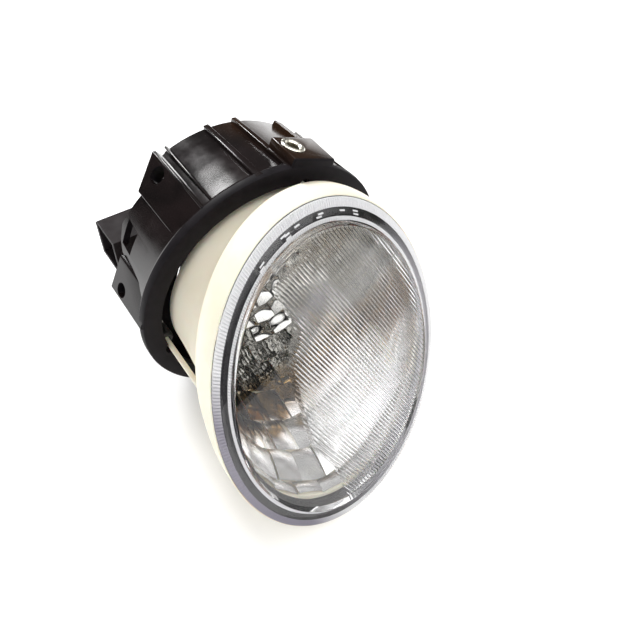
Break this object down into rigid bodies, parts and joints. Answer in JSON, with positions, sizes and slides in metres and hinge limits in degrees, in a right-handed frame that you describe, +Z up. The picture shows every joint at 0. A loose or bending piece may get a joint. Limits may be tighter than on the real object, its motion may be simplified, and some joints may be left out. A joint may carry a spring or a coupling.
{
  "type": "fog light",
  "caption": "Round raked fog lamp: fluted glass lens on a cream reflector housing that tilts on ball pivots in a ribbed black bracket cup, with an aiming screw and a twist-lock bulb.",
  "frame": {"origin": "middle of the upper mounting pad's flat face, ahead of its screw hole; the lamp's axis runs along Y through X 22.1 mm, Z -39.1 mm, and the bracket ring's front face is at Y -13 mm", "axes": "+Z up, -Y forward out of the lens, +Y rearwards along the lamp's axis, +X to the lamp's right as seen from behind the camera that faces the lens"},
  "size_m": [0.0925, 0.1222, 0.0947],
  "materials": {
    "black_plastic": "dark brown-black moulded plastic, semi-gloss",
    "insert_metal": "pale plated threaded insert",
    "bright_steel": "plated steel, satin",
    "white_nylon": "natural nylon",
    "black_nylon": "black nylon",
    "cream_shell": "cream moulded thermoset, mirrored inside",
    "lens_glass": "clear pressed glass with fine flutes and a serrated rim",
    "bulb_glass": "clear quartz",
    "dark_sealant": "dark grey sealant",
    "black_rubber": "matt rubber",
    "silicone_rubber": "red silicone",
    "bulb_plastic": "dark glass-filled plastic",
    "tungsten": "dull coiled wire"
  },
  "bodies": {
    "bracket": {"bracket_cup": "black_plastic", "top_thread_insert": "insert_metal", "pivot_stud_upper": "bright_steel", "pivot_stud_side": "bright_steel", "adjuster_bush": "white_nylon"},
    "lamp_unit": {"reflector_housing": "cream_shell", "lens": "lens_glass", "lens_seal": "dark_sealant", "pivot_socket_upper": "black_nylon", "pivot_socket_side": "black_nylon", "adjuster_nut": "white_nylon", "breather_cap": "black_rubber"},
    "bulb": {"bulb_base": "bulb_plastic", "bulb_terminal_low": "bright_steel", "bulb_terminal_high": "bright_steel", "bulb_lock_ring": "bright_steel", "bulb_o_ring": "silicone_rubber", "bulb_sleeve": "bright_steel", "bulb_glass": "bulb_glass", "bulb_filament": "tungsten", "bulb_wire_upper": "bright_steel", "bulb_wire_lower": "bright_steel"},
    "aim_screw": {"aiming_screw": "bright_steel", "screw_retainer": "bright_steel"}
  },
  "joints": [
    {"name": "aim_tilt", "type": "hinge", "parent": "bracket", "child": "lamp_unit", "pos_m": [0.01082, -0.0046, -0.0247], "axis": [0.788, 0, 0.6157], "range_deg": [-2.5, 2.5]},
    {"name": "aim_screw_turn", "type": "hinge", "parent": "bracket", "child": "aim_screw", "pos_m": [0.03905, -0.01, -0.07241], "axis": [0, -1, 0], "range_deg": [-580, 580]},
    {"name": "bulb_twist", "type": "hinge", "parent": "lamp_unit", "child": "bulb", "pos_m": [0.02207, 0.0157, -0.03909], "axis": [0, 1, 0], "range_deg": [0, 45]}
  ],
  "couplings": [
    {"joint": "aim_screw_turn", "follows": "aim_tilt", "ratio": 230.28}
  ]
}
